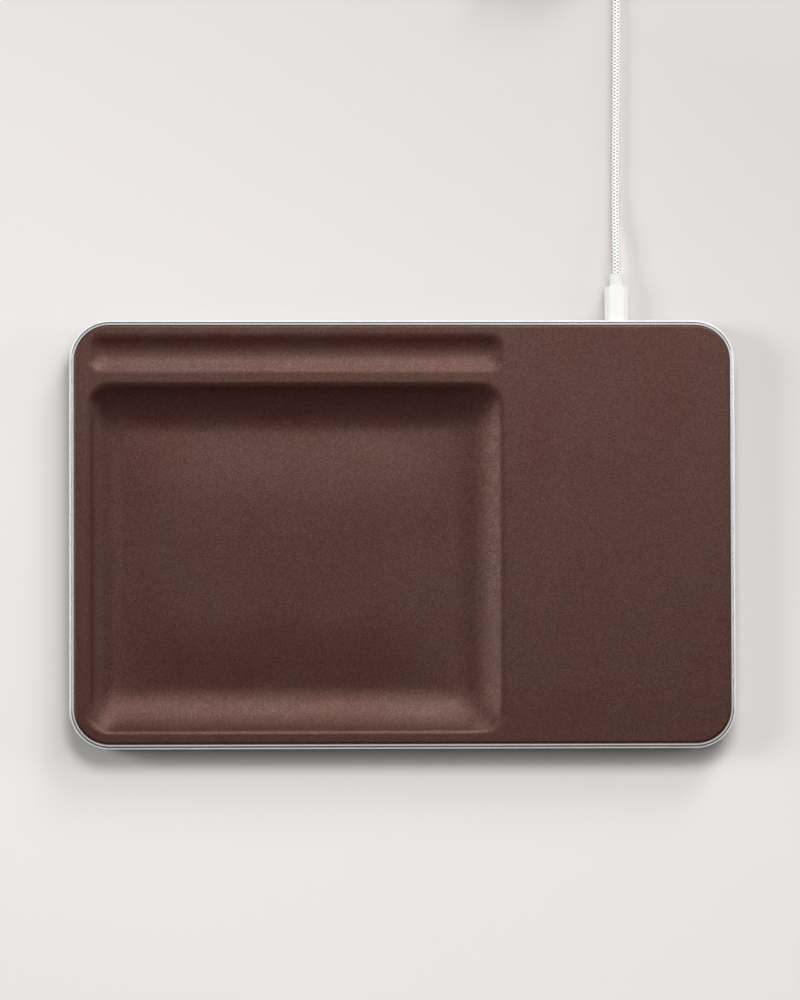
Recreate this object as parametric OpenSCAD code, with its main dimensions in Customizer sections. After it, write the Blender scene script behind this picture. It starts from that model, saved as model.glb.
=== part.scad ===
// Slim charging tray: a leather top with a catch-all recess, a pen groove and a charging pad.
// Millimetres. The table is z = 0 and the tray's middle is the origin. +X is right, +Y is the back.

/* [Tray] */
// Length of the tray, left to right
tray_l = 272; // [250:1:300]
// Depth of the tray, front to back
tray_w = 175; // [160:1:200]
// Height of the tray, from the table to the top of the leather
tray_h = 15; // [14.5:0.1:17]
// Outer corner radius seen from above
corner_r = 16.5; // [14:0.1:22]

/* [Metal surround] */
// Width of the base's shoulder seen from above
shoulder_w = 0.7; // [0.4:0.05:1.2]
// Radius of the shoulder's outer edge
shoulder_r = 0.3; // [0.1:0.05:0.4]
// Width of the bezel's sloping step
step_w = 0.55; // [0.3:0.05:1]
// Width of the bezel's flat lip
lip_w = 0.75; // [0.5:0.05:1.5]
// Depth of the lip below the top of the leather
lip_drop = 1.5; // [1:0.1:1.8]
// Depth of the shoulder below the top of the leather
shoulder_drop = 2.3; // [2.2:0.1:3.2]
// Depth of the bezel's ledge below the top of the leather
ledge_drop = 4.4; // [4.2:0.1:5]
// Width of the ledge that the core rests on
ledge_w = 2.9; // [2:0.1:2.95]
// Thickness of the ledge
ledge_t = 1.7; // [1:0.1:2]

/* [Base] */
// Thickness of the base's side wall
base_wall = 1.6; // [1.4:0.1:1.8]
// Thickness of the base's floor
base_floor = 1.5; // [1.4:0.1:1.8]
// Radius of the base's lower outside edge
base_edge_r = 2.5; // [1.5:0.1:3]
// Diameter of a foot
foot_d = 16; // [10:0.5:20]
// Height of the base above the table
foot_h = 1.5; // [1:0.1:1.8]
// Depth of the pocket that a foot is let into
foot_pocket = 0.6; // [0.3:0.1:0.8]
// Distance from the tray's sides to the middle of a foot
foot_inset = 20; // [18:1:30]

/* [Leather top] */
// Thickness of the leather
leather_t = 1.2; // [0.8:0.1:1.4]
// Thickness of the core under the leather
core_t = 1.6; // [1.2:0.1:1.8]
// Thickness of the core's rim wall
rim_wall = 1.1; // [1:0.1:1.2]
// Width of the rounded outer edge of the leather
roll_w = 1; // [0.8:0.1:2]
// Height that the rounded outer edge falls
roll_drop = 0.45; // [0.3:0.05:0.6]

/* [Recess] */
// Depth of the catch-all recess
recess_depth = 7; // [5:0.1:7.4]
// Margin at the left of the recess
recess_left = 4.5; // [3.2:0.1:12]
// Margin at the front of the recess
recess_front = 3.8; // [3.2:0.1:12]
// Corner radius of the recess at its top edge
recess_r = 9.5; // [6:0.5:16]
// Corner radius of the recess at its floor
recess_floor_r = 6; // [4:0.5:24]
// Radius of the soft edge over which the leather turns down
recess_edge_r = 3; // [1.5:0.1:4]
// Radius of the soft edge at the back of the recess
recess_edge_back = 4.5; // [3:0.1:10]
// Width of the curved left wall
recess_run_left = 15; // [13:0.1:30]
// Width of the curved right wall
recess_run_right = 21.8; // [16:0.1:30]
// Width of the curved front wall
recess_run_front = 19.2; // [16:0.1:30]
// Width of the curved back wall
recess_run_back = 20.8; // [16:0.1:30]
// Height of the padded swell of the recess's floor
swell_h = 1.2; // [0.2:0.1:2]
// Distance over which the swell rises from the foot of the walls
swell_run = 32; // [12:1:40]

/* [Pen groove and pad] */
// Depth of the pen groove
groove_depth = 1.5; // [1.2:0.05:2.6]
// Width of the pen groove
groove_w = 17.3; // [16:0.1:22]
// Margin at the back of the groove
groove_back = 2.7; // [2.7:0.1:10]
// Margin at the left of the groove
groove_left = 5; // [3.2:0.1:12]
// Corner radius of the groove at its top edge
groove_r = 6; // [4:0.5:8]
// Width of the groove's curved ends
groove_run_end = 9; // [6:0.5:12]
// Width of the groove's curved front wall
groove_run_front = 8.1; // [7:0.1:9]
// Radius of the soft edge at the groove's ends
groove_edge_end = 7; // [2:0.5:9]
// Radius of the soft edge at the groove's front
groove_edge_front = 7.5; // [4:0.5:9]
// Radius of the soft edge at the groove's back
groove_edge_back = 10; // [6:0.5:11]
// Width of the ridge between groove and recess
ridge_w = 2.9; // [0.6:0.1:6]
// Width of the charging pad
pad_w = 91.7; // [84:0.1:100]

/* [Charging coils] */
// Outside diameter of a coil
coil_od = 45; // [38:0.5:46]
// Inside diameter of a coil
coil_id = 21; // [16:0.5:28]
// Number of turns in a coil
coil_turns = 11; // [6:1:12]
// Thickness of a coil
coil_t = 1.1; // [0.8:0.05:1.15]
// Gap between neighbouring turns
turn_gap = 0.16; // [0.1:0.02:0.3]
// Thickness of the ferrite
ferrite_t = 0.8; // [0.5:0.1:0.9]
// Thickness of the carrier plate
carrier_t = 1.2; // [0.8:0.1:1.3]

/* [Board and port] */
// Length of the circuit board
board_l = 64; // [58:1:68]
// Depth of the circuit board
board_w = 31; // [28:1:33]
// Thickness of the circuit board
board_t = 1; // [0.8:0.1:1.2]
// Distance from the board to the outside of the base's back wall
board_back = 3; // [2.2:0.1:4]
// Height of the board above the base's floor
board_lift = 0.9; // [0.85:0.05:1.1]
// Width of the port's shell
port_w = 8.94; // [8.9:0.01:9.1]
// Height of the port's shell
port_h = 3.2; // [3.1:0.01:3.3]
// Length of the port's shell
port_l = 7.3; // [7.1:0.1:8]
// Height of the port's shell above the base's floor
port_lift = 0.1; // [0.1:0.05:0.5]

/* [Screws] */
// Shaft diameter of a base screw
base_screw_d = 2.5; // [2:0.1:3]
// Head diameter of a base screw
base_head_d = 4.6; // [4:0.1:5]
// Shaft diameter of a board or carrier screw
small_screw_d = 2; // [1.6:0.1:2.2]
// Head diameter of a board or carrier screw
small_head_d = 3.6; // [3.2:0.1:4]
// Head height of a board or carrier screw
small_head_h = 0.7; // [0.5:0.05:0.75]
// Wall of a screw boss round its screw
boss_wall = 1.5; // [1.2:0.1:2]

/* [Cable] */
// Diameter of the braided cord
cord_d = 3.3; // [3:0.1:3.4]
// Width of the USB-C plug's housing
plug_w = 9.5; // [9.2:0.1:12]
// Height of the USB-C plug's housing
plug_h = 5.4; // [5:0.1:6.5]
// Length of the USB-C plug's housing
plug_l = 14.2; // [12:0.1:20]
// Bevel of the housings' long edges
plug_bevel = 1.8; // [0.5:0.1:2.2]
// Width of the collars
collar_w = 5.6; // [5:0.1:6.2]
// Height of the collars
collar_h = 4.6; // [4:0.1:5]
// Length of the collars
collar_l = 5.3; // [4:0.1:8]
// Width of the USB-A plug's housing
usb_a_w = 15.4; // [14:0.1:16]
// Height of the USB-A plug's housing
usb_a_h = 7.6; // [7:0.1:9]
// Length of the USB-A plug's housing
usb_a_l = 24; // [18:0.5:32]

/* [Hidden] */
$fn = 64;

// Clearance between pieces that slide together
fit_gap = 0.1;
// Clearance round a screw in a piece that it passes through
screw_gap = 0.1;
// Clearance round a screw in the boss that it holds in
pilot_gap = 0.05;
// Amount by which a cut runs past the face it opens
cut = 1;

// Plan of the leather's outline: half length, half depth and corner radius
rim_w = shoulder_w + step_w + lip_w;
leather_x = tray_l / 2 - rim_w;
leather_y = tray_w / 2 - rim_w;
leather_r = corner_r - rim_w;

// Heights of the surround
lip_z = tray_h - lip_drop;
shoulder_z = tray_h - shoulder_drop;
ledge_z = tray_h - ledge_drop;
floor_z = foot_h + base_floor;

// Plan boxes of the two hollows: left, right, front, back
pad_left = leather_x - pad_w;
groove_box = [-leather_x + groove_left, pad_left, leather_y - groove_back - groove_w,
    leather_y - groove_back];
recess_box = [-leather_x + recess_left, pad_left, -leather_y + recess_front,
    groove_box[2] - ridge_w];
// Walls of the two hollows, in the same order
recess_walls = [
    wall(recess_depth, recess_edge_r, recess_run_left),
    wall(recess_depth, recess_edge_r, recess_run_right),
    wall(recess_depth, recess_edge_r, recess_run_front),
    wall(recess_depth, recess_edge_back, recess_run_back)];
// Width of the flat strip along the bottom of the groove
groove_flat = 0.3;
groove_walls = [
    wall(groove_depth, groove_edge_end, groove_run_end),
    wall(groove_depth, groove_edge_end, groove_run_end),
    wall(groove_depth, groove_edge_front, groove_run_front),
    wall(groove_depth, groove_edge_back, groove_w - groove_run_front - groove_flat)];
// Smallest soft edge that is left on the inside of a thick skin
least_edge_r = 0.3;
// Shortest straight that is kept between two corner arcs
least_straight = 0.1;

// Steps of the moulded surfaces: along a corner arc, down a wall, up the floor's swell and round
// the outer edge
arc_steps = 7;
wall_steps = 10;
swell_steps = 3;
roll_steps = 4;
ring_n = 4 * (arc_steps + 1);

// Stack under the pad, from the core downwards
pad_x = (pad_left + leather_x) / 2;
core_under = tray_h - leather_t - core_t;
coil_upper_z = core_under - fit_gap - coil_t;
coil_lower_z = coil_upper_z - coil_t;
ferrite_z = coil_lower_z - ferrite_t;
carrier_z = ferrite_z - carrier_t;
// Space between the two lower coils
coil_space = 1;
coil_pitch = coil_od / 2 + coil_space / 2;
// Distance by which the ferrite reaches past the coils
ferrite_rim = 2;
ferrite_r = 2;
ferrite_l = coil_od + 2 * ferrite_rim;
ferrite_w = 2 * coil_pitch + ferrite_l;
// Width and height of the carrier's fence round the ferrite
fence_w = 1.6;
fence_h = 1.2;
carrier_r = 3;
carrier_l = ferrite_l + 2 * fit_gap + 2 * fence_w;
carrier_w = ferrite_w + 2 * fit_gap + 2 * fence_w;
// Ears of the carrier, beside its fence
ear_d = small_screw_d + 2 * boss_wall;
ear_x = carrier_l / 2 + ear_d / 2;
ear_y = carrier_w / 2 - ear_d;

// Board
board_z = floor_z + board_lift;
board_top = board_z + board_t;
board_y1 = tray_w / 2 - board_back;
board_y0 = board_y1 - board_w;
port_z = floor_z + port_lift + port_h / 2;
port_x = pad_x;
// Distance from the tray's back wall to the mouth of the port
port_mouth = 0.5;
port_y0 = tray_w / 2 - port_mouth - port_l;
port_wall = 0.26;
// Tongue of the port, and the plate that it stands on
tongue_w = 6.2;
tongue_t = 0.7;
tongue_l = 5;
tongue_root = 0.4;
// Sleeve of the plug: its wall, its solid end and its distance from the end of the port
sleeve_wall = 0.45;
sleeve_end = 1.2;
sleeve_gap = 0.6;
// Inset of the board's screws from its sides, and what is added to it at the back
board_hole = 3.5;
board_hole_back = 1.5;
board_hole_x = board_l / 2 - board_hole;
board_hole_y = [board_y0 + board_hole, board_y1 - board_hole - board_hole_back];
// Longest shaft of a board or carrier screw
small_screw_l = 5;
// Slot of the cross recess in a small screw's head and in a base screw's head
small_cross = 0.4;
base_cross_w = 0.5;
base_cross_h = 0.7;

// Components on the board: place from the middle of its front edge, size, and pitch in a row
controller_at = [-8, 10];
controller_size = [7, 7, 0.9];
bridge_at = [2, 7];
bridge_size = [3.2, 3.2, 0.9];
bridge_pitch = 5;
capacitor_at = [2, 13];
capacitor_size = [1.6, 3.2, 1.6];
capacitor_pitch = 4;
inductor_at = [-19, 17];
inductor_size = [7, 7, 2.6];

// Leads of the coils: thickness, space between them and reach over the board's front edge
lead_d = 0.9;
lead_gap = 0.6;
lead_reach = 4;

// Places of the feet
foot_x = tray_l / 2 - foot_inset;
foot_y = tray_w / 2 - foot_inset;
foot_edge_r = 0.5;

// Screws of the base, in three columns and two rows, inside the recess's flat floor or beside it
base_boss_d = base_screw_d + 2 * boss_wall;
boss_inset = base_boss_d / 2 + 1;
// Space between the left feet and the first column, and inset of the last column
foot_clear = 18;
last_column = 8;
base_screw_x = [-foot_x + foot_d / 2 + foot_clear + base_boss_d / 2,
    recess_box[1] - recess_run_right - boss_inset, leather_x - last_column];
base_screw_y = [recess_box[2] + recess_run_front + boss_inset,
    recess_box[3] - recess_run_back - boss_inset];
// Depth of the flat countersunk head
base_head_h = 1.1;
// Gap between the end of a boss and what it stands on
boss_gap = 0.1;
// How far a boss runs into the core that it stands on
boss_root = 0.6;
// Width of a rib under the recess
rib_w = 1.2;

// Second plug's shell and tongue
usb_a_shell_w = 12;
usb_a_shell_h = 4.5;
usb_a_shell_l = 12;
usb_a_wall = 0.3;
usb_a_root = 0.6;
usb_a_tongue_t = 1.9;
usb_a_tongue_back = 0.8;

// Colours
leather_brown = [0.27, 0.18, 0.165];
aluminium_grey = [0.78, 0.78, 0.79];
plastic_black = [0.12, 0.12, 0.13];
plastic_white = [0.93, 0.93, 0.93];
copper = [0.72, 0.4, 0.2];

// Quarter-turn signs of the four corners
corners = [[1, 1], [-1, 1], [-1, -1], [1, -1]];

module rounded_plate(l, w, r, h) {
    linear_extrude(h) {
        rounded_outline(l, w, r);
    }
}

module rounded_outline(l, w, r) {
    union() {
        square([l - 2 * r, w], center = true);
        square([l, w - 2 * r], center = true);
        for (c = corners) {
            translate([c[0] * (l / 2 - r), c[1] * (w / 2 - r)]) {
                circle(r);
            }
        }
    }
}

// A profile swept round the tray: x runs outwards from the corner's centre, y is the height
module rim_sweep() {
    side_x = tray_l - 2 * corner_r;
    side_y = tray_w - 2 * corner_r;
    for (c = [0:3]) {
        translate([corners[c][0] * side_x / 2, corners[c][1] * side_y / 2, 0]) {
            rotate([0, 0, 90 * c]) {
                rotate_extrude(angle = 90) {
                    children();
                }
            }
        }
        side = c % 2 == 0 ? side_y : side_x;
        reach = c % 2 == 0 ? side_x / 2 : side_y / 2;
        rotate([0, 0, 90 * c]) {
            translate([reach, side / 2, 0]) {
                rotate([90, 0, 0]) {
                    linear_extrude(side) {
                        children();
                    }
                }
            }
        }
    }
}

function arc_points(cx, cy, r, from, to, steps) =
    [for (i = [0:steps]) let (a = from + (to - from) * i / steps) [cx + r * cos(a), cy + r * sin(a)]];

// Cross-section of the base: floor, rounded lower edge, wall and flat shoulder with a soft edge
module base_profile() {
    edge = 6;
    polygon(concat(
        [[0, foot_h]],
        arc_points(corner_r - base_edge_r, foot_h + base_edge_r, base_edge_r, -90, 0, edge),
        arc_points(corner_r - shoulder_r, shoulder_z - shoulder_r, shoulder_r, 0, 90, edge),
        [[corner_r - base_wall, shoulder_z], [corner_r - base_wall, floor_z], [0, floor_z]]));
}

// Cross-section of the bezel: lip, step, seat on the base, skirt inside the base's wall and ledge
module bezel_profile() {
    chamfer = 0.15;
    step_foot = 0.35;
    seat = leather_r + lip_w + step_w;
    skirt = corner_r - base_wall - fit_gap;
    polygon([
        [leather_r, ledge_z],
        [leather_r, lip_z - chamfer],
        [leather_r + chamfer, lip_z],
        [leather_r + lip_w, lip_z],
        [seat, shoulder_z + step_foot],
        [seat, shoulder_z],
        [skirt, shoulder_z],
        [skirt, ledge_z - ledge_t],
        [leather_r - ledge_w, ledge_z - ledge_t],
        [leather_r - ledge_w, ledge_z]]);
}

module base_shell() {
    color(aluminium_grey) {
        difference() {
            union() {
                rim_sweep() {
                    base_profile();
                }
                translate([0, 0, foot_h + base_floor / 2]) {
                    cube([tray_l - 2 * corner_r, tray_w - 2 * corner_r, base_floor], center = true);
                }
            }
            for (c = corners) {
                translate([c[0] * foot_x, c[1] * foot_y, foot_h - cut]) {
                    cylinder(d = foot_d + 2 * fit_gap, h = foot_pocket + cut);
                }
            }
            base_screw_places() {
                translate([0, 0, foot_h - cut]) {
                    cylinder(d = base_screw_d + 2 * screw_gap, h = base_floor + 2 * cut);
                }
                base_head(screw_gap, cut);
            }
            translate([port_x, tray_w / 2 - base_wall - cut, port_z]) {
                slot_prism(port_w + 2 * fit_gap, port_h + 2 * fit_gap, base_wall + 2 * cut);
            }
        }
    }
}

// A bar with round sides along +Y, centred on its axis
module slot_prism(w, h, l) {
    translate([0, l, 0]) {
        rotate([90, 0, 0]) {
            linear_extrude(l) {
                slot_outline(w, h);
            }
        }
    }
}

module slot_outline(w, h) {
    union() {
        square([w - h, h], center = true);
        for (side = [-1, 1]) {
            translate([side * (w - h) / 2, 0]) {
                circle(d = h);
            }
        }
    }
}

module bezel_ring() {
    color(aluminium_grey) {
        rim_sweep() {
            bezel_profile();
        }
    }
}

// A wall of a hollow of a given width, as the radii of its soft edge and of its cove and the
// angle where they meet
function wall(depth, edge_r, run) =
    let (steep = 2 * atan(depth / run)) [edge_r, depth / (1 - cos(steep)) - edge_r, steep];

// Width of a wall
function wall_run(w) = (w[0] + w[1]) * sin(w[2]);

// The same wall on a skin that lies deep below: a tighter edge and a wider cove
function skin_wall(w, deep) =
    let (inward = min(deep, w[0] - least_edge_r)) [w[0] - inward, w[1] + inward, w[2]];

// Distance that a wall has come in from its edge once the surface has fallen by drop
function wall_inset(drop, depth, w) =
    drop <= w[0] * (1 - cos(w[2]))
        ? w[0] * sin(acos(1 - drop / w[0]))
        : wall_run(w) - w[1] * sin(acos(1 - (depth - drop) / w[1]));

// One closed ring of points: a rounded rectangle at one height, from the front right corner on
function ring(box, r, z) =
    let (most = min(box[1] - box[0], box[3] - box[2]) / 2 - least_straight / 2,
        rr = min(r, most))
    [for (c = [0:3], i = [0:arc_steps])
        let (a = 90 * (c - 1 + i / arc_steps),
            cx = c < 2 ? box[1] - rr : box[0] + rr,
            cy = c == 1 || c == 2 ? box[3] - rr : box[2] + rr)
        [cx + rr * cos(a), cy + rr * sin(a), z]];

// Rings of a hollow from its top edge to its floor, on a skin that lies deep below the leather's top
function hollow_rings(box, walls, depth, top_r, floor_r, deep) =
    let (skins = [for (w = walls) skin_wall(w, deep)])
    [for (j = [0:wall_steps])
        let (drop = depth * (1 - cos(180 * j / wall_steps)) / 2,
            s = [for (w = skins) wall_inset(drop, depth, w)],
            share = s[1] / wall_run(walls[1]),
            inner = [box[0] + s[0], box[1] - s[1], box[2] + s[2], box[3] - s[3]])
        ring(inner, top_r + (floor_r - top_r) * share, tray_h - deep - drop)];

function recess_rings(deep) =
    hollow_rings(recess_box, recess_walls, recess_depth, recess_r, recess_floor_r, deep);

// Rings that rise from the recess's floor, inside the foot of its walls, to its padded middle
function swell_rings() =
    [for (k = [1:swell_steps])
        let (t = swell_run * k / swell_steps,
            rise = swell_h * (1 - pow(1 - k / swell_steps, 2)))
        ring([recess_box[0] + recess_run_left + t, recess_box[1] - recess_run_right - t,
            recess_box[2] + recess_run_front + t, recess_box[3] - recess_run_back - t],
            recess_floor_r, tray_h - recess_depth + rise)];

function groove_rings(deep) =
    hollow_rings(groove_box, groove_walls, groove_depth, groove_r, least_straight, deep);

function inset_ring(inset, z) =
    ring([-leather_x + inset, leather_x - inset, -leather_y + inset, leather_y - inset],
        leather_r - inset, z);

// Rings of the outer edge: the rounded roll, then straight down to the ledge
function edge_rings(deep) =
    let (full_r = (roll_w * roll_w + roll_drop * roll_drop) / (2 * roll_drop),
        steep = asin(roll_w / full_r),
        r = max(full_r - deep, least_edge_r),
        inset = fit_gap + deep + r * sin(steep))
    [for (j = [0:roll_steps + 1])
        let (a = steep * min(j, roll_steps) / roll_steps,
            z = j > roll_steps ? ledge_z : tray_h - deep - r * (1 - cos(a)))
        inset_ring(inset - r * sin(a), z)];

// Rings of the core's underside at its rim: a plain square corner
function rim_rings(deep) =
    [inset_ring(fit_gap + leather_t + rim_wall, tray_h - deep),
        inset_ring(fit_gap + leather_t + rim_wall, ledge_z)];

// The leather's two faces, and the core's, as three stacks of rings: recess, groove and edge
function padded_face() = [concat(recess_rings(0), swell_rings()), groove_rings(0), edge_rings(0)];
function moulded_face(deep) = [recess_rings(deep), groove_rings(deep), edge_rings(deep)];
function under_face(deep) = [recess_rings(deep), groove_rings(deep), rim_rings(deep)];

function ring_count(face) = len(face[0]) + len(face[1]) + len(face[2]);

// Triangles between an outer ring and an inner ring, clockwise from above
function band(outer, inner) =
    [for (i = [0:ring_n - 1])
        let (k = (i + 1) % ring_n)
        each [[outer + i, inner + i, inner + k], [outer + i, inner + k, outer + k]]];

function run_up(first, last) = [for (i = [first:last]) i];
function run_down(last, first) = [for (i = [last:-1:first]) i];
function turned(faces) = [for (f = faces) [for (i = [len(f) - 1:-1:0]) f[i]]];

// Number of point i on a ring's corner arc: 0 front right, 1 back right, 2 back left, 3 front left
function on_arc(ring_first, corner, i) = ring_first + corner * (arc_steps + 1) + i;

// Triangles between two corner arcs, anticlockwise from above: both run the same way round, or
// the second runs backwards where two hollows face each other
function ladder(a, a_corner, b, b_corner, backwards) =
    [for (i = [0:arc_steps - 1])
        let (b0 = on_arc(b, b_corner, backwards ? arc_steps - i : i),
            b1 = on_arc(b, b_corner, backwards ? arc_steps - i - 1 : i + 1),
            a0 = on_arc(a, a_corner, i),
            a1 = on_arc(a, a_corner, i + 1))
        each [[a0, b0, b1], [a0, b1, a1]]];

// Triangles from the first of a row of points to all the others
function fan(row) = [for (i = [1:len(row) - 2]) [row[0], row[i], row[i + 1]]];

// Flat sheet between the outer edge and the two hollows, anticlockwise from above
function flat_sheet(recess, groove, edge) =
    let (last = arc_steps)
    concat(
        ladder(recess, 0, edge, 0, false),
        ladder(groove, 1, edge, 1, false),
        ladder(groove, 2, edge, 2, false),
        ladder(recess, 3, edge, 3, false),
        ladder(recess, 1, groove, 0, true),
        ladder(recess, 2, groove, 3, true),
        fan([on_arc(edge, 1, 0), on_arc(groove, 1, 0), on_arc(groove, 0, last),
            on_arc(recess, 1, 0), on_arc(recess, 0, last), on_arc(edge, 0, last)]),
        fan([on_arc(edge, 2, last), on_arc(edge, 3, 0), on_arc(recess, 3, 0),
            on_arc(recess, 2, last), on_arc(groove, 3, 0), on_arc(groove, 2, last)]),
        fan([on_arc(groove, 1, last), on_arc(edge, 1, last), on_arc(edge, 2, 0),
            on_arc(groove, 2, 0)]),
        fan([on_arc(recess, 1, last), on_arc(groove, 0, 0), on_arc(groove, 3, last),
            on_arc(recess, 2, 0)]),
        fan([on_arc(edge, 3, last), on_arc(edge, 0, 0), on_arc(recess, 0, 0),
            on_arc(recess, 3, last)]));

// All faces of one moulded face whose rings start at point number first, clockwise from above
function face_faces(face, first) =
    let (recess = first,
        groove = recess + ring_n * len(face[0]),
        edge = groove + ring_n * len(face[1]),
        recess_floor = groove - ring_n,
        groove_floor = edge - ring_n)
    concat(
        [for (j = [0:len(face[0]) - 2]) each band(recess + ring_n * j, recess + ring_n * (j + 1))],
        [for (j = [0:len(face[1]) - 2]) each band(groove + ring_n * j, groove + ring_n * (j + 1))],
        [for (j = [0:len(face[2]) - 2]) each band(edge + ring_n * (j + 1), edge + ring_n * j)],
        [run_down(recess_floor + ring_n - 1, recess_floor)],
        [run_down(groove_floor + ring_n - 1, groove_floor)],
        turned(flat_sheet(recess, groove, edge)));

// A moulded shell between two faces, closed by the rim where their edges end
module moulded_shell(top, under) {
    points = [for (face = [top, under], stack = face, one = stack, p = one) p];
    top_rings = ring_count(top);
    under_rings = ring_count(under);
    top_rim = ring_n * (top_rings - 1);
    under_rim = ring_n * (top_rings + under_rings - 1);
    polyhedron(points, concat(
        face_faces(top, 0),
        turned(face_faces(under, ring_n * top_rings)),
        turned(band(top_rim, under_rim))));
}

module leather_cover() {
    color(leather_brown) {
        moulded_shell(padded_face(), moulded_face(leather_t));
    }
}

module tray_core() {
    color(plastic_black) {
        difference() {
            union() {
                moulded_shell(moulded_face(leather_t), under_face(leather_t + core_t));
                base_screw_places() {
                    base_boss($screw_under);
                }
                board_screw_places() {
                    small_boss(board_top);
                }
                carrier_screw_places() {
                    small_boss(carrier_z + carrier_t);
                }
                floor_ribs();
            }
            base_screw_places() {
                screw_pilot(base_screw_d, floor_z, $screw_under);
            }
            board_screw_places() {
                screw_pilot(small_screw_d, board_top, core_under);
            }
            carrier_screw_places() {
                screw_pilot(small_screw_d, carrier_z + carrier_t, core_under);
            }
        }
    }
}

// Places the children at each base screw, and tells them how high the core's underside is there
module base_screw_places() {
    for (x = base_screw_x, y = base_screw_y) {
        $screw_under = x < pad_left ? core_under - recess_depth : core_under;
        translate([x, y, 0]) {
            children();
        }
    }
}

module board_screw_places() {
    for (side = [-1, 1], y = board_hole_y) {
        translate([pad_x + side * board_hole_x, y, 0]) {
            children();
        }
    }
}

module carrier_screw_places() {
    for (side = [-1, 1], end = [-1, 1]) {
        translate([pad_x + side * ear_x, end * ear_y, 0]) {
            children();
        }
    }
}

module base_boss(under) {
    translate([0, 0, floor_z + boss_gap]) {
        cylinder(d = base_boss_d, h = under + boss_root - floor_z - boss_gap);
    }
}

module small_boss(from) {
    translate([0, 0, from]) {
        cylinder(d = small_screw_d + 2 * boss_wall, h = core_under + boss_root - from);
    }
}

// Ribs that join the four bosses under the recess and carry its floor on the base
module floor_ribs() {
    rib_x = [base_screw_x[0], base_screw_x[1]];
    rib_z = floor_z + boss_gap;
    rib_h = core_under - recess_depth + boss_root - rib_z;
    for (y = base_screw_y) {
        translate([rib_x[0], y - rib_w / 2, rib_z]) {
            cube([rib_x[1] - rib_x[0], rib_w, rib_h]);
        }
    }
    for (x = rib_x) {
        translate([x - rib_w / 2, base_screw_y[0], rib_z]) {
            cube([rib_w, base_screw_y[1] - base_screw_y[0], rib_h]);
        }
    }
}

module screw_pilot(d, from, to) {
    translate([0, 0, from - cut]) {
        cylinder(d = d + 2 * pilot_gap, h = to - from + cut);
    }
}

// Countersunk head from the base's outside face up
module base_head(gap, below) {
    translate([0, 0, foot_h]) {
        cylinder(d1 = base_head_d + 2 * gap, d2 = base_screw_d + 2 * gap, h = base_head_h);
    }
    translate([0, 0, foot_h - below]) {
        cylinder(d = base_head_d + 2 * gap, h = below);
    }
}

module base_screws() {
    color(aluminium_grey) {
        base_screw_places() {
            difference() {
                union() {
                    translate([0, 0, foot_h]) {
                        cylinder(d1 = base_head_d, d2 = base_screw_d, h = base_head_h);
                    }
                    translate([0, 0, foot_h + base_head_h]) {
                        cylinder(d = base_screw_d, h = $screw_under - foot_h - base_head_h - fit_gap);
                    }
                }
                screw_cross(foot_h, base_head_d / 2, base_cross_w, base_cross_h);
            }
        }
    }
}

// Cross recess in a screw's head
module screw_cross(from, reach, w, deep) {
    for (turn = [0, 90]) {
        rotate([0, 0, turn]) {
            translate([0, 0, from]) {
                cube([reach, w, 2 * deep], center = true);
            }
        }
    }
}

module small_screw(from) {
    difference() {
        union() {
            translate([0, 0, from - small_head_h]) {
                cylinder(d = small_head_d, h = small_head_h);
            }
            translate([0, 0, from]) {
                cylinder(d = small_screw_d, h = min(core_under - from - fit_gap, small_screw_l));
            }
        }
        screw_cross(from - small_head_h, small_head_d / 2, small_cross, small_cross);
    }
}

module foot() {
    rotate_extrude() {
        polygon(concat(
            [[0, 0]],
            arc_points(foot_d / 2 - foot_edge_r, foot_edge_r, foot_edge_r, -90, 0, 4),
            [[foot_d / 2, foot_h + foot_pocket], [0, foot_h + foot_pocket]]));
    }
}

module placed_foot(side, end) {
    color(plastic_black) {
        translate([side * foot_x, end * foot_y, 0]) {
            foot();
        }
    }
}

// One flat winding: a band that spirals outwards, drawn as its outer edge and its inner edge
function spiral_edge(offset) =
    let (pitch = (coil_od - coil_id) / 2 / coil_turns,
        steps = 24)
    [for (i = [0:steps * (coil_turns - 1)])
        let (r = coil_id / 2 + pitch * i / steps + offset)
        [r * cos(360 * i / steps), r * sin(360 * i / steps)]];

module charging_coil(y, z) {
    band_w = (coil_od - coil_id) / 2 / coil_turns - turn_gap;
    inner = spiral_edge(0);
    outer = spiral_edge(band_w);
    color(copper) {
        translate([pad_x, y, z]) {
            linear_extrude(coil_t) {
                polygon(concat(outer, [for (i = [len(inner) - 1:-1:0]) inner[i]]));
            }
        }
    }
}

module ferrite_sheet() {
    color("dimgray") {
        translate([pad_x, 0, ferrite_z]) {
            rounded_plate(ferrite_l, ferrite_w, ferrite_r, ferrite_t);
        }
    }
}

module coil_carrier() {
    color(plastic_black) {
        difference() {
            union() {
                translate([pad_x, 0, carrier_z]) {
                    rounded_plate(carrier_l, carrier_w, carrier_r, carrier_t + fence_h);
                }
                carrier_screw_places() {
                    translate([0, 0, carrier_z]) {
                        cylinder(d = ear_d, h = carrier_t);
                    }
                }
                for (end = [-1, 1]) {
                    translate([pad_x, end * ear_y, carrier_z + carrier_t / 2]) {
                        cube([2 * ear_x, ear_d, carrier_t], center = true);
                    }
                }
            }
            translate([pad_x, 0, ferrite_z]) {
                rounded_plate(ferrite_l + 2 * fit_gap, ferrite_w + 2 * fit_gap, ferrite_r,
                    ferrite_t + fence_h);
            }
            carrier_screw_places() {
                translate([0, 0, carrier_z - cut]) {
                    cylinder(d = small_screw_d + 2 * screw_gap, h = carrier_t + 2 * cut);
                }
            }
        }
    }
}

module carrier_screws() {
    color(aluminium_grey) {
        carrier_screw_places() {
            small_screw(carrier_z);
        }
    }
}

module board_screws() {
    color(aluminium_grey) {
        board_screw_places() {
            small_screw(board_z);
        }
    }
}

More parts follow.
